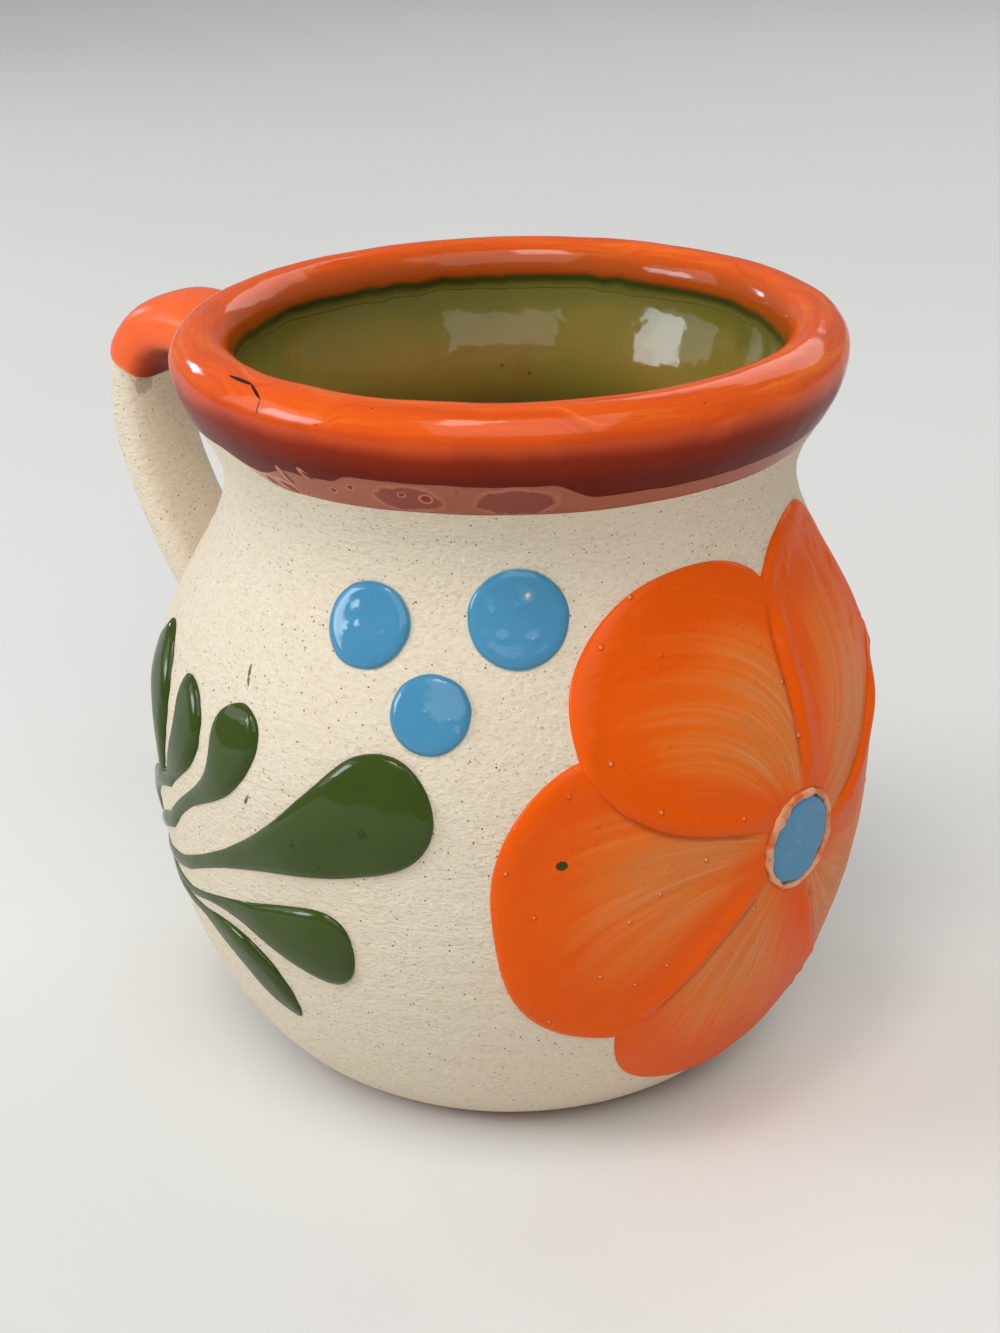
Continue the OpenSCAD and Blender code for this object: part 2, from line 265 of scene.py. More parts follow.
def add_paint(node, side, up, home, height, material, values=None, mirrored=False):
    """A dab of paint in place of a node: flat points laid on the slip, with a sunk back."""
    skins = [laid(side, up, home, h, mirrored) for h in (height, -SUNK + 0 * height)]
    both = {key: np.concatenate([data, data]) for key, data in (values or {}).items()}
    add_piece(f"{node}_paint", skins, shell_faces(*height.shape), material, node, both)


# Materials


def colour(r, g, b):
    """Linear RGBA of a colour written as it shows, 0 to 255."""
    def linear(v):
        v /= 255
        return v / 12.92 if v <= 0.04045 else ((v + 0.055) / 1.055) ** 2.4
    return (linear(r), linear(g), linear(b), 1.0)


class Finish:
    """A material on one shader, with short calls for the nodes that drive it. tone is its colour so far."""

    def __init__(self, name, roughness, gloss):
        self.material = bpy.data.materials.new(name)
        self.material.use_nodes = True
        self.tree = self.material.node_tree
        self.shader = self.tree.nodes["Principled BSDF"].inputs
        self.shader["Roughness"].default_value = roughness
        self.shader["Specular IOR Level"].default_value = gloss
        self.place = self.node("TexCoord", "Object", {})
        self.tone = None

    def put(self, socket, value):
        if isinstance(value, bpy.types.NodeSocket):
            self.tree.links.new(value, socket)
        else:
            socket.default_value = value

    def node(self, kind, output, inputs, **settings):
        """One output of a new node, whose inputs are numbers or other outputs."""
        node = self.tree.nodes.new("ShaderNode" + kind)
        for key, setting in settings.items():
            setattr(node, key, setting)
        for key, value in inputs.items():
            self.put(node.inputs[key], value)
        return node.outputs[output]

    def stretched(self, x, y, z, place=None):
        """A place, by default the one in metres, scaled along each axis."""
        return self.node("Mapping", "Vector", {"Vector": place or self.place, "Scale": (x, y, z)})

    def value(self, name, output="Fac"):
        """A number that the mesh holds for each point."""
        return self.node("Attribute", output, {}, attribute_name=name)

    def vector(self, name):
        return self.value(name, "Vector")

    def noise(self, scale, detail=3.0, place=None, roughness=0.55, distortion=0.0):
        """Noise from 0 to 1, with so many lumps per unit of its place."""
        inputs = {"Scale": scale, "Detail": detail, "Roughness": roughness, "Distortion": distortion}
        return self.node("TexNoise", "Fac", {"Vector": place or self.place, **inputs})

    def cells(self, scale):
        """Distance to the nearest cell point, in cells, and two random numbers of the cell."""
        distance = self.node("TexVoronoi", "Distance", {"Vector": self.place, "Scale": scale})
        red = self.node("SeparateColor", "Red", {"Color": distance.node.outputs["Color"]})
        return distance, red, red.node.outputs["Green"]

    def steps(self, value, low, high, to_low=0.0, to_high=1.0):
        """A smooth step of value between low and high."""
        inputs = {"Value": value, "From Min": low, "From Max": high, "To Min": to_low, "To Max": to_high}
        return self.node("MapRange", "Result", inputs, interpolation_type="SMOOTHSTEP")

    def sum(self, kind, a, b):
        return self.node("Math", "Value", {0: a, 1: b}, operation=kind)

    def plus(self, a, b):
        return self.sum("ADD", a, b)

    def times(self, a, b):
        return self.sum("MULTIPLY", a, b)

    def uneven(self, value, size):
        """A noise from 0 to 1 made to swing about 0."""
        return self.times(self.sum("SUBTRACT", value, 0.5), size)

    def mix(self, share, a, b):
        return self.node("Mix", "Result", {"Factor": share, "A": a, "B": b}, data_type="RGBA")

    def ground(self, share, rgb, other_rgb):
        """Starts the tone as a blend of two colours."""
        self.tone = self.mix(share, colour(*rgb), colour(*other_rgb))

    def paint(self, share, *rgb):
        """Lays a colour over the tone, by a share or mask."""
        self.tone = self.mix(share, self.tone, colour(*rgb))

    def grade(self, value, bands):
        """Lays on colours as a value grows: where each starts and is full, and its colour."""
        for low, high, rgb in bands:
            self.paint(self.steps(value, low, high), *rgb)

    def specks(self, scale, size, share):
        """Mask of specks: cells per metre, a size in cells and the share of cells with one."""
        distance, luck, spread = self.cells(scale)
        off = self.sum("SUBTRACT", distance, self.times(spread, size))
        return self.times(self.steps(off, -0.06, 0.02, 1.0, 0.0), self.sum("LESS_THAN", luck, share))

    def oval(self, centre, radii, turns, ragged):
        """Mask of an ellipsoid with a ragged edge: its centre, radii and Euler turns."""
        inputs = {"Location": Vector(centre) * MM, "Rotation": turns, "Scale": Vector(radii) * MM}
        inside = self.node("Mapping", "Vector", {"Vector": self.place, **inputs}, vector_type="TEXTURE")
        distance = self.node("VectorMath", "Value", {0: inside}, operation="LENGTH")
        distance = self.plus(distance, self.uneven(self.noise(650, 2), ragged))
        return self.steps(distance, 0.86, 1.06, 1.0, 0.0)

    def spot(self, turn, z, wide, high, tilt=0.0, ragged=0.5):
        """Mask of a mark on the outside: its turn, height, half width, half height and tilt."""
        a = math.radians(turn)
        centre = placed(clay_r(z) + SLIP_T, a, z)
        return self.oval(centre, (4.0, wide, high), (math.radians(tilt), 0, a), ragged)

    def streak(self, start, end, radius):
        """Mask of a line between two points, each given as radius, turn and height."""
        p, q = (Vector(placed(r, math.radians(turn), z)) for r, turn, z in (start, end))
        turns = (q - p).to_track_quat("X", "Z").to_euler()
        return self.oval((p + q) / 2, ((q - p).length / 2 + radius, radius, radius), turns, 0.4)

    def bump(self, height, distance, strength=1.0, under=None):
        """Bump from a height of 0 to 1 that stands for that distance in mm."""
        inputs = {"Strength": strength, "Distance": distance * MM, "Height": height}
        if under:
            inputs["Normal"] = under
        return self.node("Bump", "Normal", inputs)

    def fade_gloss(self, gloss):
        """Lessens a gloss where the surface turns away, so that the room doesn't veil it."""
        away = self.node("LayerWeight", "Facing", {})
        faded = self.times(self.steps(away, 0.5, 0.88, 1.0, 0.1), gloss)
        self.put(self.shader["Specular IOR Level"], faded)

    def done(self, normal=None):
        self.put(self.shader["Base Color"], self.tone)
        if normal:
            self.put(self.shader["Normal"], normal)
        return self.material


# Marks, as turn and height first. Ovals and drips then have a half width and half height, and drips a tilt.
# Rings, pits and the speck have a size. Scuffs and the lip's flaw go between points and have a thickness, and
# the flaw's points have a radius first.
OVALS = [(-66.9, 90.8, 4.0, 1.75), (-49.1, 90.7, 4.8, 1.85)]
RINGS = [(-80.4, 90.7, 0.6), (-76.8, 91.6, 0.6), (-86.4, 89.3, 0.4), (-63.8, 91.0, 0.95), (-67.8, 91.4, 0.6)]
DRIPS = [
    (-90.2, 91.3, 1.6, 0.52, -59), (-85.1, 92.4, 1.15, 0.45, -44), (-95.4, 90.0, 1.3, 0.6, -24),
    (-91.0, 89.7, 2.2, 0.56, -22), (-98.4, 89.1, 1.2, 0.38, -10),
]
FLAW = [
    ((41.1, -103.9, 101.5), (41.2, -97.4, 101.5), 0.3),
    ((41.2, -97.4, 101.5), (42.4, -93.1, 100.5), 0.22),
    ((42.4, -93.1, 100.5), (43.2, -93.0, 99.1), 0.16),
]
SCUFFS = [((-96.9, 66.9), (-95.8, 63.6), 0.28), ((-91.8, 51.4), (-93.4, 48.6), 0.26)]
# A grey smudge on the strap: its share of the strap's curve, its turn round the strap and its radii
SMUDGE = (0.588, 236.0, (1.5, 1.5, 1.5))
GREEN_SPECK = (-43.3, 48.1, 0.75)
LEAF_PITS = [(-70.8, 51.3, 0.5), (-81.9, 47.8, 0.35)]

# The rim glaze's colours down its outside, whose dark brick red below is partly the glaze's own colour and
# partly painted shade of the down-turned flank, and from the top of the lip to its inner edge
RIM_DOWN = [(0.04, 0.28, (196, 70, 18)), (0.20, 0.54, (132, 38, 12)), (0.5, 1.0, (101, 26, 9))]
RIM_INWARD = [
    (0.12, 0.55, (176, 76, 20)), (0.62, 0.72, (120, 66, 22)),
    (0.69, 0.75, (62, 68, 24)), (0.77, 0.92, (112, 104, 44)),
]


def clay_finish():
    """Bare fired clay, grainy and specked."""
    f = Finish("bare_clay", 0.85, 0.2)
    f.ground(f.noise(90), (170, 98, 66), (190, 124, 88))
    f.paint(f.specks(420, 0.22, 0.5), 110, 66, 48)
    return f.done(f.bump(f.noise(900, 4), 0.12))


def slip_finish():
    """Matte cream slip with sandy grain, pinpoint specks and a few scuffs."""
    f = Finish("cream_slip", 0.8, 0.15)
    f.ground(f.noise(38), (226, 214, 194), (219, 203, 177))
    grain = f.noise(1.0, 3, f.stretched(1300, 1300, 2300), 0.6)
    crinkle = f.noise(1.0, 2, f.stretched(520, 520, 1100), 0.5)
    f.paint(f.steps(grain, 0.30, 0.48, 0.42, 0.0), 196, 177, 150)
    f.paint(f.steps(grain, 0.55, 0.72, 0.0, 0.4), 238, 231, 217)
    f.paint(f.times(f.specks(1500, 0.26, 0.55), 0.55), 140, 108, 78)
    f.paint(f.times(f.specks(1250, 0.2, 0.6), 0.85), 84, 60, 44)
    f.paint(f.specks(680, 0.11, 0.45), 58, 42, 34)
    broken = f.steps(f.noise(800, 2), 0.42, 0.6)
    for start, end, radius in SCUFFS:
        ends = [(float(clay_r(z)) + SLIP_T, turn, z) for turn, z in (start, end)]
        f.paint(f.times(f.streak(*ends, radius), broken), 112, 96, 84)
    share, turn, radii = SMUDGE
    centre = leaning(strap_surface(share, math.radians(turn), 0.0))
    f.paint(f.times(f.oval(centre, radii, (0, 0, 0), 1.6), 0.45), 118, 102, 88)
    return f.done(f.bump(grain, 0.28, 0.9, f.bump(crinkle, 0.26, 0.8)))


def rim_finish():
    """Glossy orange glaze, streaked along the lip, brick red below (partly the glaze, partly painted shade)
    and olive inside.
    """
    f = Finish("rim_glaze", 0.1, 0.3)
    uneven = f.uneven(f.noise(75, distortion=0.5), 0.34)
    streaks = f.noise(1.0, 4, f.vector("along"), 0.6)
    f.ground(f.noise(130), (230, 92, 20), (218, 80, 16))
    f.paint(f.steps(streaks, 0.36, 0.5, 0.5, 0.0), 200, 72, 16)
    f.paint(f.steps(streaks, 0.52, 0.72, 0.0, 0.6), 238, 124, 36)
    # Brick red down the outside: partly the glaze's own colour, partly painted shade of the flank that faces
    # down
    f.grade(f.plus(f.value("drop"), uneven), RIM_DOWN)
    f.grade(f.plus(f.value("inner"), f.times(uneven, 0.5)), RIM_INWARD)
    f.paint(f.specks(900, 0.16, 0.10), 96, 30, 18)
    paint_drips(f)
    for start, end, radius in FLAW:
        f.paint(f.streak(start, end, radius), 42, 22, 16)
    f.fade_gloss(f.steps(f.value("drop"), 0.1, 0.6, 0.27, 0.09))
    return f.done(f.bump(streaks, 0.06, 0.5, f.bump(f.noise(120, 2), 0.5, 0.3)))


def paint_drips(f):
    """Paints the pale runs with red cores at the glaze's lower edge."""
    for turn, z, half, high, tilt in DRIPS:
        f.paint(f.times(f.spot(turn, z, half, high, tilt), 0.8), 204, 138, 108)
        f.paint(f.spot(turn + 0.5, z - 0.22, half * 0.72, high * 0.62, tilt), 116, 38, 26)


def wash_finish():
    """Thin satin peach wash, with brick ovals, ringed pits and a darker edge."""
    f = Finish("peach_wash", 0.25, 0.22)
    f.ground(f.noise(120, 4), (174, 102, 78), (152, 82, 62))
    f.paint(f.steps(f.noise(330, 4, distortion=0.8), 0.58, 0.74, 0.0, 0.6), 146, 66, 48)
    f.paint(f.value("pale"), 226, 200, 172)
    for turn, z, half, high in OVALS:
        f.paint(f.times(f.spot(turn, z, half + 0.5, high + 0.35), 0.4), 206, 130, 102)
        f.paint(f.times(f.spot(turn, z, half, high, ragged=0.6), 0.8), 124, 50, 42)
    for turn, z, size in RINGS:
        f.paint(f.times(f.spot(turn, z, size, size * 0.8), 0.75), 198, 122, 96)
        f.paint(f.spot(turn, z, size * 0.65, size * 0.52), 128, 44, 34)
    paint_drips(f)
    f.paint(f.specks(700, 0.2, 0.2), 132, 46, 34)
    f.paint(f.times(f.value("edge"), 0.7), 128, 66, 48)
    return f.done(f.bump(f.noise(260), 0.2, 0.4))


def lining_finish():
    """Glossy olive glaze: green under the rim, ochre below, and darker to the floor as painted shade."""
    f = Finish("olive_lining", 0.07, 0.3)
    near = f.plus(f.value("drop"), f.uneven(f.noise(90, distortion=0.4), 0.22))
    f.ground(f.steps(near, 0.06, 0.30), (120, 110, 46), (142, 114, 48))
    # Painted shade: darker deeper down inside the cup
    f.paint(f.steps(near, 0.25, 0.85), 98, 84, 30)
    f.paint(f.steps(f.noise(50, 4), 0.45, 0.7, 0.0, 0.6), 118, 108, 42)
    f.paint(f.steps(f.noise(140, 4, distortion=0.6), 0.58, 0.74, 0.0, 0.5), 136, 100, 38)
    f.paint(f.steps(near, 0.0, 0.12, 0.3, 0.0), 66, 74, 26)
    f.paint(f.specks(330, 0.2, 0.2), 84, 76, 32)
    return f.done(f.bump(f.noise(110), 0.5, 0.45))


def handle_glaze_finish():
    """Salmon-orange glaze, with painted shade making it dark red on the strap's inner face, and a brushed
    end.
    """
    f = Finish("handle_glaze", 0.3, 0.18)
    under = f.plus(f.value("under"), f.uneven(f.noise(140), 0.3))
    f.ground(f.noise(90, 4, distortion=0.6), (244, 110, 58), (234, 90, 34))
    # Painted shade: dark red on the strap's inner, under side
    f.paint(f.steps(under, 0.62, 0.95), 126, 38, 22)
    edge = f.steps(f.plus(f.value("edge"), f.uneven(f.noise(500), 0.5)), 0.3, 0.95)
    f.paint(f.times(edge, 0.65), 232, 168, 134)
    f.paint(f.specks(900, 0.16, 0.12), 120, 46, 28)
    return f.done(f.bump(f.noise(160), 0.35, 0.4))


def petal_finish():
    """Thick orange paint, brushed thin and peach to the centre, with a painted shadow line at each ridge's
    foot, bubbles with painted highlights on their tops and a speck.
    """
    gloss = 0.11
    f = Finish("petal_paint", 0.26, gloss)
    f.fade_gloss(gloss)
    near, stroke = f.value("thin"), f.vector("stroke")
    hair = f.noise(1.0, 2, f.stretched(3.4, 1.5, 1.0, stroke), 0.5)
    brush = f.plus(f.times(f.noise(1.0, 2, stroke, 0.5), 0.7), f.times(hair, 0.3))
    f.ground(f.noise(60), (234, 94, 6), (222, 80, 4))
    thin = f.plus(near, f.uneven(brush, 1.1))
    f.grade(thin, [(0.14, 0.70, (226, 108, 32)), (0.60, 1.15, (214, 122, 58))])
    f.paint(f.steps(hair, 0.48, 0.76, 0.0, f.times(f.times(near, near), 0.34)), 234, 172, 122)
    f.paint(f.steps(hair, 0.28, 0.50, f.times(near, 0.22), 0.0), 206, 88, 20)
    # Painted shadow: a dark line at the foot of the ridge of the petal lying over this one
    f.paint(f.times(f.value("foot"), 0.6), 156, 54, 12)
    f.paint(f.times(f.specks(1100, 0.2, 0.3), 0.5), 170, 76, 26)
    turn, z, size = GREEN_SPECK
    f.paint(f.spot(turn, z, size, size * 0.8), 58, 62, 20)
    distance, luck, _ = f.cells(420)
    bubbles = f.times(f.steps(distance, 0.04, 0.24, 1.0, 0.0), f.sum("LESS_THAN", luck, 0.22))
    # Painted highlights: pale tops on the bubbles
    f.paint(f.times(f.steps(bubbles, 0.8, 1.0), 0.5), 246, 190, 146)
    return f.done(f.bump(bubbles, 0.24, 0.9, f.bump(brush, 0.35, 0.5)))


def blue_finish():
    """Thick glossy blue paint, greener at its edge, with burst bubbles and painted highlights on its bubbles'
    tops.
    """
    f = Finish("blue_paint", 0.08, 0.32)
    f.ground(f.noise(140), (74, 142, 180), (66, 130, 168))
    f.paint(f.steps(f.noise(420), 0.6, 0.8, 0.0, 0.4), 92, 156, 186)
    f.paint(f.steps(f.value("edge"), 0.9, 0.98, 0.0, 0.45), 54, 112, 142)
    f.paint(f.steps(f.value("edge"), 0.97, 1.0, 0.0, 0.7), 132, 176, 184)
    # Pale: painted highlights on the bubbles' tops, and the burst bubble's pale ring and bare slip
    f.paint(f.steps(f.value("pale"), 0.1, 1.1), 206, 204, 198)
    f.paint(f.specks(700, 0.14, 0.12), 112, 168, 196)
    return f.done(f.bump(f.noise(700, 2), 0.03, 0.5, f.bump(f.noise(190, 2), 0.3, 0.3)))


def leaf_finish():
    """Thick glossy dark green paint, yellower in places, with a few pits."""
    gloss = 0.3
    f = Finish("green_paint", 0.08, gloss)
    f.fade_gloss(gloss)
    f.ground(f.noise(100, 4, distortion=0.7), (46, 64, 17), (62, 78, 21))
    f.paint(f.specks(600, 0.16, 0.2), 32, 44, 20)
    normal = f.bump(f.noise(120), 0.5, 0.4)
    for turn, z, size in LEAF_PITS:
        f.paint(f.times(f.spot(turn, z, size, size, ragged=0.2), 0.5), 26, 34, 12)
        normal = f.bump(f.spot(turn, z, size * 1.5, size * 1.5, ragged=0.2), -0.3, 1.0, normal)
    return f.done(normal)


def ring_finish():
    """The ragged peach-white edge of paint round the flower's centre."""
    f = Finish("ring_paint", 0.3, 0.3)
    f.ground(f.steps(f.noise(420, 4), 0.44, 0.66), (222, 160, 118), (204, 104, 48))
    f.paint(f.steps(f.noise(260), 0.62, 0.72, 0.0, 0.7), 140, 74, 42)
    return f.done(f.bump(f.noise(500), 0.3, 0.6))


def floor_finish():
    """A pale, matte floor."""
    f = Finish("pale_floor", 0.8, 0.2)
    f.ground(f.noise(6, 2), (226, 225, 222), (221, 220, 217))
    return f.done()


# The pot and its coats


def add_clay(material):
    """The fired pot under the coats. Only its bare foot shows."""
    foot_z = [0.0, 0.25, 0.7]
    out_z = np.hstack([foot_z, two_runs(1.4, BELLY_Z, LIP_Z, 30, 40)])
    out_r = clay_r(out_z)
    out_r[:2] -= [0.8, 0.25]
    lip_r, lip_z = lip_arc(14)
    in_z = two_runs(LIP_Z, BELLY_Z, FLOOR_T, 36, 24)
    r = np.hstack([[0, FOOT_R * 0.5], out_r, lip_r, bore_r(in_z), [0]])
    z = np.hstack([[0, 0], out_z, lip_z, in_z, [FLOOR_T]])
    add_turned("pot_clay", r, z, material, "clay_body", 160)


def add_slip(material):
    """The cream coat on the outside, wiped off at the foot, with faint throwing rings."""
    turns = all_round(288)[:, None]
    low = BARE_H + 0.35 * round_wave(turns, 9, 1)
    z = low + (GLAZE_Z - low) * np.linspace(0, 1, 108)
    points = placed(clay_r(z), turns, z)
    lumps = 0.10 * wave(points, 16, 2) + 0.05 * wave(points * [1, 1, 3], 5, 3)
    rings = 0.035 * np.sin(z * 2 * np.pi / 3.4 + 1.5 * np.cos(turns))
    r = clay_r(z) + (SLIP_T + lumps + rings) * rounded_edge(z - low, 0.9)
    loop_r, loop_z = with_back(r, z, low, GLAZE_Z, 40)
    add_ring("pot_slip", loop_r, loop_z, turns, material, "slip_coat")


# The side of the rim on which its dark lower band, partly glaze colour and partly painted shade, is the
# darkest
SHADE_TURN = -115.0
# Stretches where the wash shows wide: the middle's turn, half its length and how far the glaze draws up
WIDE_WASH = [(-60, 20, 2.3), (-84, 9, 1.2), (62, 12, 0.8), (118, 16, 1.6)]
# The stretch by the handle where the wash is a thin pale line: its ends, and the line's rise and width
THIN_WASH, THIN_RISE, THIN_W = (-168.0, -98.0), 2.6, 0.55


def thin_wash(turns):
    """Share from 0 to 1 of how far the wash is the thin pale line."""
    turn = (np.degrees(turns) + 180) % 360 - 180
    start, end = THIN_WASH
    return smooth(end + 7, end - 10, turn) * smooth(start - 8, start + 8, turn)


def wash_low_edge(turns):
    """Height of the wash's lower edge."""
    return WASH_Z - 0.35 + 0.2 * round_wave(turns, 11, 21) + THIN_RISE * thin_wash(turns)


def glaze_low_edge(turns):
    """Height of the rim glaze's lower edge, higher where the wash shows wide."""
    rise = 0 * turns
    for middle, half, height in WIDE_WASH:
        off = np.abs((np.degrees(turns) - middle + 180) % 360 - 180)
        rise = np.maximum(rise, height * (1 - smooth(half - 4, half + 4, off)))
    wide = GLAZE_Z - 0.9 + rise + 0.22 * round_wave(turns, 8, 11) + 0.12 * round_wave(turns, 2.6, 12)
    share = thin_wash(turns)
    return wide * (1 - share) + (wash_low_edge(turns) + THIN_W) * share


def glaze_inner_edge(turns):
    """Height of the rim glaze's edge inside, with small uneven scallops."""
    scallops = np.abs(np.sin(21 * turns + 2.2 * round_wave(turns, 14, 13))) ** 0.8
    depth = 0.2 + 0.2 * round_wave(turns, 13, 15)
    waves = 0.5 * round_wave(turns, 12, 14) + 0.2 * round_wave(turns, 3.2, 16)
    return GLAZE_IN_Z + 0.3 - depth * scallops + waves


def add_wash(material):
    """The thin first coat that shows as a strip under the rim's glaze."""
    turns = all_round(432)[:, None]
    low, top = wash_low_edge(turns), glaze_low_edge(turns) + 1.4
    z = low + (top - low) * two_runs(0, 0.2, 1, 9, 16)
    points = placed(clay_r(z), turns, z)
    thick = WASH_T - SLIP_T + 0.06 + 0.03 * wave(points, 3, 22)
    r = clay_r(z) + SLIP_T + thick * rounded_edge(z - low, 0.5) - CLEAR
    loop_r, loop_z = with_back(r, z, low, top, 8)
    pale = thin_wash(turns) + 0 * loop_z
    values = {"edge": np.clip(1 - (loop_z - low) / 0.35, 0, 1) * (1 - pale), "pale": pale}
    add_ring("rim_wash_strip", loop_r, loop_z, turns, material, "rim_wash", values)


def over_lip(up, lip, down):
    """Joins numbers of the rim's outside, lip and inside into one section for each turn."""
    return np.hstack([up, np.repeat(lip[None, :], len(up), 0), down])


def rim_thickness(points, length):
    """Thickness of the rim's glaze: uneven, and thinner towards its two rounded edges."""
    left = length[:, -1:] - length
    low_t, inner_t = WASH_T + 0.18, LINING_T + 0.06
    thick = RIM_T + 0.14 * wave(points, 9, 31) + 0.03 * wave(points, 3.2, 32)
    thick = low_t + (thick - low_t) * smooth(0, 4.5, length)
    thick = inner_t + (thick - inner_t) * smooth(0, 2.5, left)
    return thick * np.minimum(rounded_edge(length, 0.3), rounded_edge(left, 0.35))


def rim_values(turns, z, length, top):
    """How far the glaze is down the outside and in from the lip's top, and its streaks' places."""
    outside = np.arange(z.shape[1]) <= top
    # Shifts the dark lower band round the rim: partly glaze colour, partly painted shade
    shade = 0.1 * np.cos(turns - math.radians(SHADE_TURN))
    drop = np.clip((LIP_Z + 1.6 - z) / (LIP_Z + 0.8 - GLAZE_Z) + shade, 0, 1)
    top_length = length[:, top:top + 1]
    inner = np.clip((length - top_length) / (length[:, -1:] - top_length), 0, 1)
    along = np.stack(np.broadcast_arrays(2.6 * np.cos(turns), 2.6 * np.sin(turns), 0.9 * length), -1)
    return {"drop": np.where(outside, drop, 0), "inner": np.where(outside, 0, inner), "along": along}


def add_rim(material):
    """The glossy glaze up the outside, over the rolled lip and down the inside."""
    turns = all_round(480)[:, None]
    low, inner = glaze_low_edge(turns), glaze_inner_edge(turns)
    share = np.linspace(0, 1, 26) ** 1.3
    lip_r, lip_z = lip_arc(26)
    lip_out, lip_up = (lip_r - LIP_R + LIP_T / 2) / (LIP_T / 2), (lip_z - LIP_Z) / (LIP_T / 2)
    up_z = low + (LIP_Z - low) * share
    down_z = LIP_Z + (inner - LIP_Z) * (1 - share[::-1])
    z = over_lip(up_z, lip_z, down_z)
    r = over_lip(clay_r(up_z), lip_r, bore_r(down_z))
    outward = over_lip(np.ones_like(up_z), lip_out, -np.ones_like(down_z))
    upward = over_lip(np.zeros_like(up_z), lip_up, np.zeros_like(down_z))
    steps = np.hypot(np.diff(r, axis=1), np.diff(z, axis=1))
    length = np.hstack([0 * turns, np.cumsum(steps, 1)])
    thick = rim_thickness(placed(r, turns, z), length)
    loop_r = np.hstack([r + thick * outward, (r - SUNK * outward)[:, ::-1]])
    loop_z = np.hstack([z + thick * upward, (z - SUNK * upward)[:, ::-1]])
    values = rim_values(turns, z, length, up_z.shape[1] + len(lip_z) // 2)
    values = {key: np.hstack([data, data[:, ::-1]]) for key, data in values.items()}
    add_ring("rim_band", loop_r, loop_z, turns, material, "rim_glaze", values)


def add_lining(material):
    """The olive glaze inside, with a rounded corner at the floor."""
    top, corner = GLAZE_IN_Z + 1.4, FLOOR_T + 1.2
    wall_z = two_runs(top, BELLY_Z, corner, 60, 40)
    wall = bore_r(wall_z) - LINING_T
    turn = np.linspace(0, np.pi / 2, 7)[1:]
    corner_r, corner_z = wall[-1] - 2.2 + 2.2 * np.cos(turn), corner - 0.7 * np.sin(turn)
    floor_r = np.linspace(corner_r[-1], 4, 12)[1:]
    floor_z = FLOOR_T + LINING_T + 0 * floor_r
    back_z = np.linspace(FLOOR_T - SUNK, top, 50)
    r = np.hstack([[0], bore_r(np.maximum(back_z, FLOOR_T)) + SUNK, wall, corner_r, floor_r, [0]])
    z = np.hstack([[FLOOR_T - SUNK], back_z, wall_z, corner_z, floor_z, [FLOOR_T + LINING_T]])
    # drop runs down from the glaze's top and sets the green top and the painted shade lower down
    values = {"drop": np.clip((GLAZE_IN_Z - z) / 30, 0, 1)}
    add_turned("pot_lining", r, z, material, "inner_glaze", 256, values)


# The handle's curve, as radius and height. A pull is how far out and up the curve is drawn from one end.
HANDLE_SINK = WALL_T + SLIP_T + WASH_T
HANDLE_TOP, HANDLE_END = POT_H - 30.5, BELLY_Z - 8.0
UPPER_PULL, LOWER_PULL = [22.5, 42.0], [56.5, 48.0]
UPPER, LOWER = (np.array([float(clay_r(z)) - HANDLE_SINK, z]) for z in (HANDLE_TOP, HANDLE_END))
CURVE = np.array([UPPER, UPPER + UPPER_PULL, LOWER + LOWER_PULL, LOWER])
# The joints' pieces, nodes and ends on the curve, and the reach, height and sunk back of their fillet
JOINTS = [
    ("handle_joint_upper", "upper_slip_joint", 0.0, 0.30),
    ("handle_joint_lower", "lower_slip_joint", 1.0, 0.78),
]
JOINT_REACH, JOINT_HEIGHT, JOINT_SUNK = 7.0, 3.6, 1.2
# The strap's glaze: its start and end on the curve, its end's slant and the slant's turn, and its length
COAT_START, COAT_END, COAT_SLANT, COAT_SLANT_TURN, COAT_LENGTH = 0.15, 0.529, 0.034, 230.0, 62.0
COAT_SUNK = 0.6


def strap_surface(t, turn, grow):
    """Points of the strap at shares t of its curve and section turns, thicker by grow."""
    t, turn, grow = np.broadcast_arrays(t, turn, grow)
    p = np.stack([(1 - t) ** 3, 3 * t * (1 - t) ** 2, 3 * t * t * (1 - t), t ** 3], -1) @ CURVE
    h = np.stack([(1 - t) ** 2, 2 * t * (1 - t), t * t], -1) @ np.diff(CURVE, axis=0)
    h /= np.linalg.norm(h, axis=-1, keepdims=True)
    across = np.sign(np.cos(turn)) * np.abs(np.cos(turn)) ** SECTION_POWER
    deep = np.sign(np.sin(turn)) * np.abs(np.sin(turn)) ** SECTION_POWER
    swell = 0.35 * np.sin(5.1 * t + 0.6) + 0.2 * np.sin(11 * t)
    out = (HANDLE_T / 2 + grow + 0.4 * swell) * deep
    side = (HANDLE_W / 2 + grow - 0.5 * swell) * across
    return np.stack([-(p[..., 0] - h[..., 1] * out), side, p[..., 1] + h[..., 0] * out], -1)


def kept_in_wall(points):
    """Points moved out, so that none lies deeper than the middle of the pot's wall."""
    r = np.hypot(points[..., 0], points[..., 1])
    out = np.maximum((clay_r(points[..., 2]) - WALL_T / 2) / np.maximum(r, 1), 1)
    return points * np.stack([out, out, np.ones_like(out)], -1)


def add_tube(name, t, turn, outer, sunk, material, node, values=None):
    """A sleeve on the strap over shares t and section turns, with a sunk inner skin."""
    top, under = (kept_in_wall(strap_surface(t, turn, grow)) for grow in (outer, -sunk + 0 * outer))
    loops = np.concatenate([top, under[::-1]])
    both = {key: np.concatenate([data, data[::-1]]) for key, data in (values or {}).items()}
    add_piece(name, leaning(loops), grid_faces(*loops.shape[:2], True, True), material, node, both)


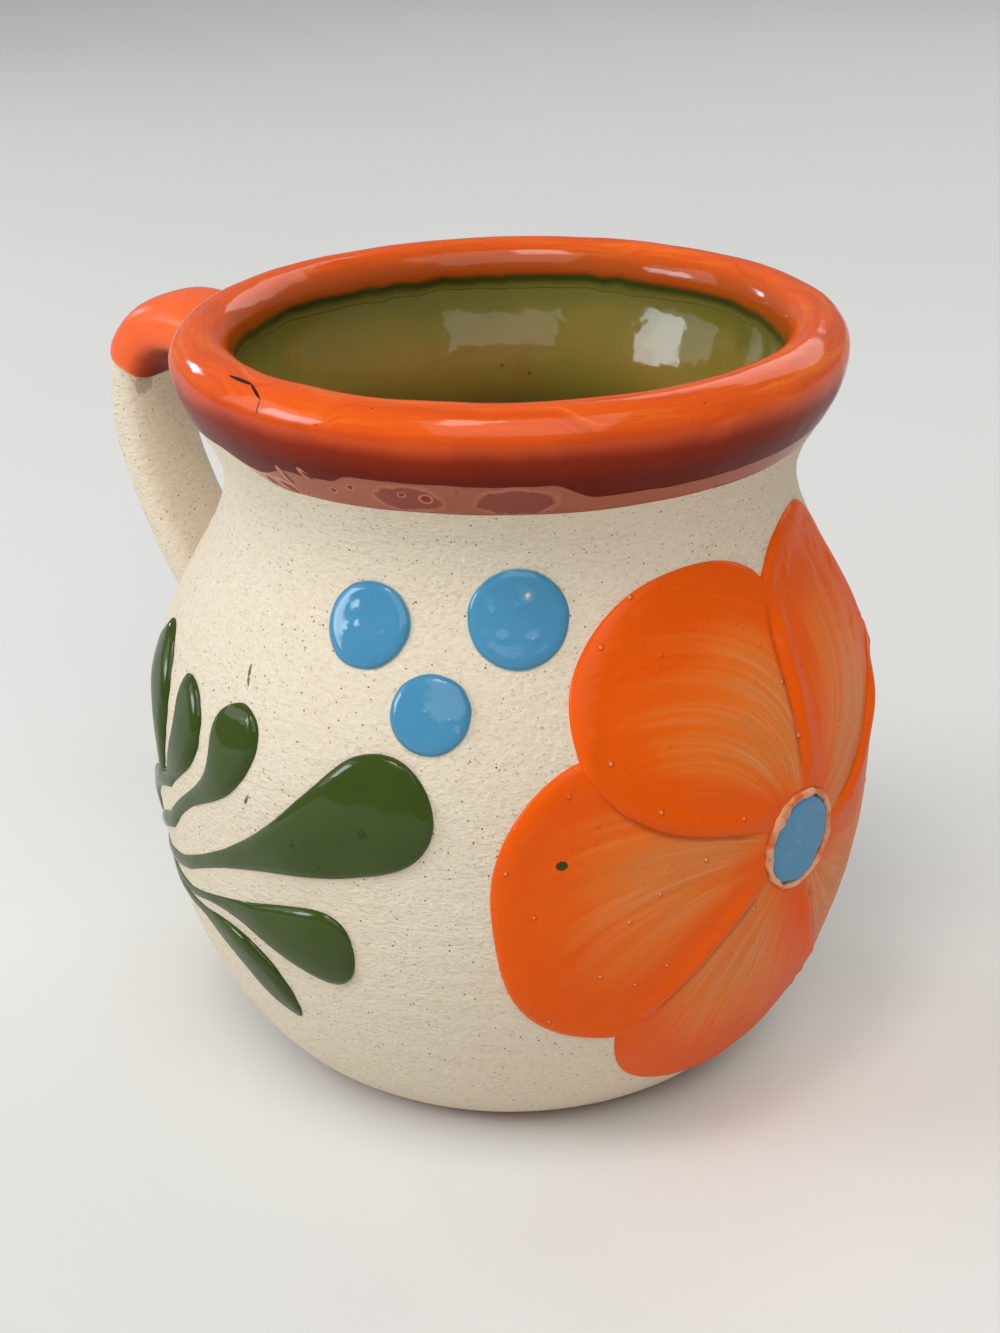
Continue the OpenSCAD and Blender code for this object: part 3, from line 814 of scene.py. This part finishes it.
def add_handle(material):
    """The pulled strap of clay, softly uneven."""
    t, turn = np.linspace(0, 1, 110)[:, None], all_round(64)
    bare = strap_surface(t, turn, 0.0)
    lumps = 0.16 * wave(bare, 10, 41) + 0.05 * wave(bare, 3.5, 42)
    points = kept_in_wall(strap_surface(t, turn, lumps - 0.05))
    rows, cols = points.shape[:2]
    faces = grid_faces(rows, cols, False, True)
    faces += [list(range(cols)), [(rows - 1) * cols + j for j in range(cols)]]
    add_piece("handle_strap", leaning(points), faces, material, "handle")


def flare(points):
    """Thickness of the clay worked round the strap near the pot's wall."""
    r = np.hypot(points[..., 0], points[..., 1])
    gap = r - clay_r(points[..., 2]) - SLIP_T
    return JOINT_HEIGHT * np.clip(1 - gap / JOINT_REACH, 0, 1.1) ** 2


def add_joint(name, node, t_from, t_to, material):
    """The clay smoothed round one end of the strap and feathered out on it."""
    t, turn = np.linspace(t_from, t_to, 40)[:, None], all_round(72)
    bare = strap_surface(t, turn, 0.0)
    fillet = flare(bare)
    outer = fillet + 0.12 * wave(bare, 6, 51) * np.clip(fillet, 0, 1) + 0.3 * np.clip(fillet, 0, 0.6) - 0.1
    add_tube(name, t, turn, outer, JOINT_SUNK, material, node)


def add_handle_glaze(material):
    """The glaze brushed over the strap's upper half, with a soft wavy end."""
    turn = all_round(64)
    end = COAT_END + COAT_SLANT * np.cos(turn - math.radians(COAT_SLANT_TURN)) + 0.004 * np.sin(turn * 5)
    share = two_runs(0, 0.92, 1, 60, 16)[:, None]
    start = COAT_START + 0.008 * np.sin(turn * 3 + 1)
    t = start + (end - start) * share
    from_end = (1 - share) * COAT_LENGTH + 0 * turn
    from_start = share * COAT_LENGTH + 0 * turn
    lumps = 0.1 * wave(strap_surface(t, turn, 0.0), 6, 45)
    thick = HANDLE_GLAZE_T + 0.15 + lumps
    thick = thick * np.minimum(rounded_edge(from_end, 2.2), rounded_edge(from_start, 1.0))
    # under grows towards the strap's inner side, where painted shade darkens the glaze
    values = {"under": (1 - np.sin(turn)) / 2 + 0 * t, "edge": np.clip(1 - from_end / 3.0, 0, 1)}
    add_tube("handle_glaze_coat", t, turn, thick + CLEAR, COAT_SUNK, material, "handle_glaze", values)


# The flower's centre: its radius, its ring's width, its dome and how ragged its edge is
EYE_R, EYE_RING_W, EYE_DOME, EYE_RAGGED = 6.0, 0.5, -0.3, 0.2
# The side on which the ring is thick
RING_TURN = 155.0
PETAL_IN = EYE_R + 0.4
PETAL_GRID = 112
# Each boundary of two petals: its angle near the centre, half way and at the notch, and the notch's reach
BOUNDARIES = [
    (2, 20, 31.8, 34.3), (87, 88.5, 84.6, 33.2), (151, 160, 150, 34.8),
    (211, 220, 222.6, 32.9), (286, 294, 302, 34.5),
]
# Where boundaries start from the centre, and the way over which they and the strokes bend
BOUNDARY_FROM, BEND_OVER = 7.0, 28.0
# Each petal's reach, how blunt its lobe is, how far it leans to the turning side and is cut on the other
PETAL_REACH = [42.6, 40.0, 42.85, 38.8, 42.0]
LOBE_POWER = [2.5, 2.67, 2.41, 2.5, 2.5]
LOBE_LEAN = [0.0, 0.0, -0.95, -0.3, 0.0]
LOBE_CUT = [4.0, 0.0, 0.0, 0.0, 0.0]
# How far each petal's brush strokes bend to the turning side on their way out
STROKE_BEND = [24.0, 40.0, 16.0, 14.0, 20.0]
# How many bubbles a petal has, and the heights they may have
PETAL_BUBBLES, BUBBLE_HEIGHTS = 34, [0.2, 0.16, 0.12, -0.1]


def boundary_angle(k, distance):
    """Angle in degrees of a boundary at distances from the flower's centre."""
    inner, middle, outer, _ = BOUNDARIES[k % 5]
    x = np.clip((distance - BOUNDARY_FROM) / BEND_OVER, 0, 1)
    bend = 2 * (inner + outer) - 4 * middle
    return inner + (outer - inner - bend) * x + bend * x * x + 360 * (k // 5)


def petal_reach(k, v):
    """How far a petal reaches, across it from -1 at its first boundary to 1 at its last."""
    low_notch, high_notch = BOUNDARIES[k][3], BOUNDARIES[(k + 1) % 5][3]
    notch = low_notch + (high_notch - low_notch) * (v + 1) / 2
    reach = notch + (PETAL_REACH[k] - notch) * (1 - np.abs(v) ** LOBE_POWER[k])
    reach = reach + (LOBE_LEAN[k] * v + 0.2 * np.sin(v * 7 + k * 2.1)) * (1 - v * v)
    return reach - LOBE_CUT[k] * smooth(0.1, -0.7, v) * (1 - v * v)


def petal_grid(k):
    """A petal's points as angle and distance, and their way to its outer, inner, last and first edge."""
    u = ease(np.linspace(0, 1, PETAL_GRID))[:, None]
    even = np.linspace(-1, 1, PETAL_GRID)
    v = (np.sin(np.pi / 2 * even) + even) / 2
    length = petal_reach(k, v) - PETAL_IN
    distance = PETAL_IN + length * u
    first = boundary_angle(k, distance) - np.degrees(0.2 / distance)
    last = boundary_angle(k + 1, distance) + np.degrees(0.55 / distance)
    angle = np.radians((first + last) / 2 + v * (last - first) / 2)
    half = np.radians((last - first) / 2) * distance
    return angle, distance, ((1 - u) * length, u * length, (1 - v) * half, (1 + v) * half)


def petal_bubbles(k, side, up):
    """Heights of a petal's scattered bubbles and pits."""
    heights = 0 * side
    luck = np.random.default_rng(600 + k)
    for _ in range(PETAL_BUBBLES):
        i, j = int(luck.integers(20, PETAL_GRID - 16)), int(luck.integers(12, PETAL_GRID - 12))
        size, height = luck.uniform(0.45, 0.7), luck.choice(BUBBLE_HEIGHTS)
        heights += height * hump(np.hypot(side - side[i, j], up - up[i, j]), size)
    return heights


def petal_height(k, side, up, distance, strokes, edges):
    """A petal's height: brushed thin, with a border, a ridge along its last edge and bubbles."""
    to_out, to_in, to_last, to_first = edges
    flat = np.stack([side, up, 0 * side + 9.0 * k], -1)
    join = 2 * smooth(8, 2, to_out)
    edge = rounded_edge(to_out, 1.2) * rounded_edge(to_last + join, 0.8) * rounded_edge(to_first + join, 0.8)
    edge = edge * rounded_edge(to_in, 0.7)
    brushed = smooth(3, 12, to_out) * smooth(2, 8, to_last)
    body = 0.5 - 0.16 * brushed + 0.10 * wave(flat, 9, 62)
    ridge = 0.62 * hump(to_last - 1.5, 1.35) * smooth(7, 12, distance) * (1 + 0.3 * wave(flat, 6, 63))
    ridge = ridge * (1 - 0.8 * smooth(10, 3, to_out))
    border = 0.26 * hump(to_out - 2.2, 2.0) * (1 + 0.4 * wave(flat, 5, 64))
    relief = 0.1 * strokes * (0.3 + 0.7 * brushed) + petal_bubbles(k, side, up)
    return edge * (body + ridge + border + relief) + CLEAR


def add_petal(k, material):
    """One thick brushed petal, whose last edge lies over the next petal."""
    angle, distance, edges = petal_grid(k)
    to_out, _, to_last, to_first = edges
    side, up = distance * np.cos(angle), distance * np.sin(angle)
    sweep = np.degrees(angle) - STROKE_BEND[k] * np.clip((distance - PETAL_IN) / BEND_OVER, 0, 1.4) ** 2
    strokes = wave(np.stack([sweep * 0.14, distance * 0.03, 0 * side + 3.7 * k], -1), 1.0, 61)
    height = petal_height(k, side, up, distance, strokes, edges)
    thin = 0.8 * smooth(0, 22, to_out) + 0.35 * smooth(16, 3, to_first) * smooth(3, 12, to_out)
    thin = np.clip(thin, 0, 1) * smooth(1.5, 12, to_last)
    # foot: where a painted shadow line lies, at the foot of the ridge over this petal's first edge
    foot = hump(np.clip(to_first - 0.8, 0, None), 0.4) * smooth(8, 12, distance) * smooth(2, 9, to_out)
    stroke = np.stack([sweep * 0.12, distance * 0.03, 0 * side + 5.0 * k], -1)
    values = {"thin": thin, "foot": foot, "stroke": stroke}
    add_paint(f"petal_{k + 1}", side, up, FLOWER_HOME, height, material, values)


def disc_grid(n):
    """Points of a unit disc on a square grid."""
    a = np.sin(np.pi / 2 * np.linspace(-1, 1, n))
    x, y = np.meshgrid(a, a, indexing="ij")
    return x * np.sqrt(1 - y * y / 2), y * np.sqrt(1 - x * x / 2)


# Bubbles in three kinds of blue dab: place in radii, size and rise. The first kind has a burst one as well.
BUBBLES = [
    [(-0.50, 0.17, 0.5, 0.10), (0.0, 0.28, 0.5, 0.11), (-0.30, -0.36, 0.45, 0.10), (0.28, -0.39, 0.45, 0.10)],
    [(-0.2, 0.36, 0.7, 0.12), (-0.12, -0.02, 0.55, 0.12), (-0.42, -0.16, 0.5, 0.11),
     (0.42, -0.1, 0.35, 0.06)],
    [(-0.10, 0.08, 0.5, 0.11), (0.74, -0.36, 0.4, 0.09), (0.50, -0.08, 0.35, 0.05)],
]
BURST = (0.18, 0.48)


def dab_bubbles(kind, side, up, radius):
    """Heights of a dab's bubbles, and how pale they are: a painted highlight on each bubble's top, and in the
    burst one a pale ring and the bare slip at its middle.
    """
    height, pale = 0 * side, 0 * side
    for across, along, size, rise in BUBBLES[kind]:
        off = np.hypot(side - across * radius, up - along * radius)
        height = height + rise * hump(off, size)
        # A painted highlight on each bubble's top
        pale = np.maximum(pale, 0.6 * hump(off, 0.22))
    if kind == 0:
        off = np.hypot(side - BURST[0] * radius, up - BURST[1] * radius)
        ring = hump(off - 0.8, 0.3)
        height = height + 0.06 * ring - 0.06 * hump(off, 0.5)
        pale = np.maximum(pale, np.maximum(0.3 * ring, 1.2 * hump(off, 0.35)))
    return height, pale


def add_dab(node, home, radius, dome, ragged, seed, material, mirrored=False):
    """A round drop of thick blue paint with a soft edge and small bubbles."""
    x, y = disc_grid(60)
    share = np.hypot(x, y)
    rim = on_circle(np.arctan2(y, x))
    edge = ragged * wave(rim, 0.4 + 2 * ragged, seed) + 0.3 * ragged * wave(rim, 0.2, seed + 1)
    reach = radius * (1 + edge)
    side, up = x * reach, y * reach
    flat = np.stack([side, up, 0 * side], -1)
    bubbles, pale = dab_bubbles(seed % len(BUBBLES), side, up, radius)
    height = PAINT_T * 0.85 * rounded_edge((1 - share) * radius, 1.3) + dome * (1 - share ** 2)
    height = height + 0.05 * wave(flat, 3.0, seed + 2) * (1 - share ** 4) + CLEAR + bubbles
    add_paint(node, side, up, home, height, material, {"edge": share, "pale": pale}, mirrored)


def add_flower_ring(material):
    """The ragged bead of paint round the flower's centre, thicker on one side."""
    turn, section = all_round(144)[:, None], all_round(20)
    rim = on_circle(turn)
    thick = np.clip(np.cos(turn - math.radians(RING_TURN)), 0, 1)
    middle = EYE_R + EYE_RING_W / 2 - 0.35 * thick + 0.3 * wave(rim, 0.35, 71)
    width = EYE_RING_W / 2 + 0.12 + 0.4 * thick + (0.2 + 0.4 * thick) * wave(rim, 0.22, 72)
    distance = middle + width * np.cos(section)
    height = 0.35 + (0.55 + 0.18 * wave(rim, 0.3, 73)) * np.sin(section)
    points = laid(distance * np.cos(turn), distance * np.sin(turn), FLOWER_HOME, height)
    faces = grid_faces(*points.shape[:2], True, True)
    add_piece("flower_ring_paint", points, faces, material, "flower_ring")


# Dots: turn, height and diameter. The far side's dots are turned on towards the handle.
DOTS = [(-48.9, 75.5, 12.1), (-75.4, 73.8, 10.75), (-62.6, 65.35, 9.8)]
FAR_DOT_TURN, DOT_DOME, DOT_RAGGED = 15.0, 0.2, 0.02
# Leaves: turn and height of the blade's start and tip, width, how far it bends and swings to its upper side,
# the powers by which it swells and closes, the stem's width, and the turn and height where the stem bends.
LEAVES = [
    (-110.4, 34.8, -63.3, 57.25, 14.6, -0.9, 0.3, 2.93, 0.50, 2.1, -122.5, 30.3),
    (-111.9, 29.7, -73.9, 32.6, 10.9, 2.1, 0.3, 2.97, 0.46, 1.4, -122.0, 28.4),
    (-109.1, 28.0, -88.55, 18.1, 5.65, 3.8, -0.1, 1.23, 0.66, 1.8, -120.0, 27.0),
    (-115.7, 39.3, -95.9, 62.0, 8.26, -3.7, 1.2, 4.15, 0.67, 2.4, -128.0, 34.4),
    (-115.6, 45.6, -112.5, 61.2, 6.23, -3.9, 0.7, 1.45, 0.59, 2.7, -130.0, 41.5),
    (-119.5, 44.3, -128.95, 63.2, 6.97, -2.7, 0.0, 1.41, 0.48, 2.3, -134.0, 41.0),
]
# Where the stems of a spray meet, as turn and run, and how far from there each one ends
SPRAY_TURN, SPRAY_RUN, STEM_END = -136.0, -14.1, 1.0
STEM_ROWS, BLADE_ROWS, LEAF_COLS = 22, 68, 40


def leaf_home(k):
    """The turn and run of the middle of a leaf's blade."""
    turn_a, z_a, turn_b, z_b = LEAVES[k][:4]
    return (turn_a + turn_b) / 2, (run_at(z_a) + run_at(z_b)) / 2


def leaf_line(k, back, blade):
    """A leaf's middle line, from the stem's end to the tip, and the blade's length."""
    turn_a, z_a, turn_b, z_b, _, bend, swing = LEAVES[k][:7]
    turn_s, z_s = LEAVES[k][10:]
    home_turn, home_run = leaf_home(k)
    home_r = float(np.interp(home_run, RUN, RUN_R))

    def flat_place(turn, run):
        return np.array([math.radians(turn - home_turn) * home_r, run - home_run])

    root, elbow = flat_place(SPRAY_TURN, SPRAY_RUN), flat_place(turn_s, run_at(z_s))
    start, tip = flat_place(turn_a, run_at(z_a)), flat_place(turn_b, run_at(z_b))
    end = root + (elbow - root) * STEM_END / np.hypot(*(elbow - root))
    length = np.hypot(*(tip - start))
    along = (tip - start) / length
    normal = np.array([-along[1], along[0]])
    stem = [b * b * end + 2 * b * (1 - b) * elbow + (1 - b) ** 2 * start for b in back]
    off = bend * np.sin(np.pi * blade) + swing * np.sin(2 * np.pi * blade)
    return np.concatenate([stem, start + blade[:, None] * length * along + off[:, None] * normal]), length


def leaf_half(k, back, s, length, seed):
    """Half of a leaf's width: a stem with a round end, and a blade that swells and closes."""
    width, (swell, close, stem_w) = LEAVES[k][4], LEAVES[k][7:10]
    shape = s ** swell * (1 - s) ** close
    peak = swell / (swell + close)
    half = stem_w / 2 * (1 - s) + width / 2 * shape / (peak ** swell * (1 - peak) ** close)
    half[:STEM_ROWS] *= np.sqrt(1 - np.clip((back - 0.85) / 0.15, 0, 0.97) ** 2)
    return half * (1 + 0.03 * wave(np.stack([s * length, 0 * s, 0 * s], -1), 6, seed))


def add_leaf(k, far, material):
    """A domed teardrop of thick green paint on a thin stem."""
    seed = 80 + k + 20 * far
    back = np.linspace(1, 0, STEM_ROWS, endpoint=False) ** 0.6
    blade = (1 - (1 - np.linspace(0, 1, BLADE_ROWS)) ** 2) * 0.9995
    line, length = leaf_line(k, back, blade)
    s = np.hstack([0 * back, blade])
    half = leaf_half(k, back, s, length, seed)[:, None]
    across = np.gradient(line, axis=0)
    across = np.stack([-across[:, 1], across[:, 0]], -1) / np.linalg.norm(across, axis=1)[:, None]
    v = np.sin(np.pi / 2 * np.linspace(-1, 1, LEAF_COLS))
    side = line[:, :1] + across[:, :1] * v * half
    up = line[:, 1:] + across[:, 1:] * v * half
    from_stem_end = np.hstack([(1 - back) * 6, 99 + 0 * blade]) + 0.05
    to_end = np.minimum(0.7 * (1 - s) * length, from_stem_end)[:, None]
    to_edge = np.minimum((1 - np.abs(v)) * half, to_end)
    height = (0.35 + 0.45 * smooth(0.6, 3.0, half)) * rounded_edge(to_edge, 1.5)
    height = height + 0.5 * (1 - v * v) * smooth(1.0, 5, half) * smooth(0, 5, to_end) + CLEAR
    height = height * (1 + 0.2 * wave(np.stack([side, up, 0 * side], -1), 7, seed + 1))
    node = f"leaf_{'far' if far else 'near'}_{k + 1}"
    add_paint(node, side, up, leaf_home(k), height, material, mirrored=far)


# The stage. Lamps and floor are in metres. Each lamp has a place, a size, watts and a tint.
LAMP_TARGET = (0, 0, 0.05)
LAMPS = [
    ("key", (0.46, -0.52, 0.98), (1.1, 1.1), 7.6, (1.0, 0.98, 0.95)),
    ("top", (0.07, -0.36, 1.0), (0.18, 0.34), 1.6, (1.0, 0.96, 0.88)),
    ("fill", (-0.95, -0.80, 0.62), (0.8, 0.7), 3.0, (0.95, 0.975, 1.0)),
    ("window", (-0.56, -0.74, 0.44), (0.36, 0.26), 3.2, (0.84, 0.92, 1.0)),
    ("inside", (-0.85, 0.06, 0.34), (0.12, 0.12), 0.7, (0.72, 0.84, 1.0)),
    ("back", (-0.1, 0.95, 0.75), (0.9, 0.6), 3.0, (1, 1, 1)),
]
WORLD_TINT, WORLD_STRENGTH = (0.97, 0.985, 1.0, 1), 0.3
FLOOR_SIZE, FLOOR_Z = 4.0, -0.0004
CAMERA_PLACE, CAMERA_TARGET, CAMERA_ROLL = (175.7, -211.7, 177.7), (-1.1, -0.9, 51.7), -0.38
LENS, SENSOR_W = 59.4, 36.0


def add_floor():
    """A wide floor just under the foot."""
    mesh = bpy.data.meshes.new("floor")
    corners = [(x * FLOOR_SIZE, y * FLOOR_SIZE, FLOOR_Z) for x, y in ((-1, -1), (1, -1), (1, 1), (-1, 1))]
    mesh.from_pydata(corners, [], [(0, 1, 2, 3)])
    mesh.materials.append(floor_finish())
    floor = linked("floor", mesh)


def add_lamp(name, place, size, watts, tint):
    """An area lamp that looks at the mug."""
    data = bpy.data.lights.new(name, "AREA")
    data.shape, data.size, data.size_y = "RECTANGLE", size[0], size[1]
    data.energy, data.color = watts, tint
    lamp = linked(name, data)
    lamp.location = place
    lamp.rotation_euler = (Vector(LAMP_TARGET) - Vector(place)).to_track_quat("-Z", "Y").to_euler()


def add_light():
    """Lamps as in a bright room, and an even pale world."""
    for lamp in LAMPS:
        add_lamp(*lamp)
    world = bpy.data.worlds.new("studio")
    world.use_nodes = True
    background = world.node_tree.nodes["Background"]
    background.inputs["Color"].default_value = WORLD_TINT
    background.inputs["Strength"].default_value = WORLD_STRENGTH
    bpy.context.scene.world = world
    bpy.context.scene.view_settings.view_transform = "Standard"


def add_camera():
    """The photograph's view: a little above the rim, with the flower on the right."""
    place, target = Vector(CAMERA_PLACE) * MM, Vector(CAMERA_TARGET) * MM
    data = bpy.data.cameras.new("camera")
    data.lens, data.sensor_width = LENS, SENSOR_W
    camera = linked("camera", data)
    camera.location = place
    aim = (target - place).to_track_quat("-Z", "Y")
    camera.rotation_mode = "QUATERNION"
    camera.rotation_quaternion = aim @ Quaternion((0, 0, 1), math.radians(CAMERA_ROLL))
    bpy.context.scene.camera = camera


def add_spray(far, blue, leaf):
    """The dots and leaves on one side of the pot."""
    for k, (turn, z, diameter) in enumerate(DOTS):
        home = (turn - FAR_DOT_TURN * far, run_at(z))
        node = f"dot_{'far' if far else 'near'}_{k + 1}"
        seed = 90 + k + 30 * far
        add_dab(node, home, diameter / 2, DOT_DOME, DOT_RAGGED, seed, blue, far)
    for k in range(len(LEAVES)):
        add_leaf(k, far, leaf)


def build():
    """All pieces of the mug, from the clay outwards."""
    slip, blue, petal, leaf = slip_finish(), blue_finish(), petal_finish(), leaf_finish()
    add_clay(clay_finish())
    add_slip(slip)
    add_wash(wash_finish())
    add_rim(rim_finish())
    add_lining(lining_finish())
    add_handle(slip)
    for joint in JOINTS:
        add_joint(*joint, slip)
    add_handle_glaze(handle_glaze_finish())
    for k in range(len(BOUNDARIES)):
        add_petal(k, petal)
    add_flower_ring(ring_finish())
    add_dab("flower_centre", (FLOWER_TURN, run_at(BELLY_Z)), EYE_R, EYE_DOME, EYE_RAGGED, 76, blue)
    for far in (False, True):
        add_spray(far, blue, leaf)


build()
add_floor()
add_light()
add_camera()
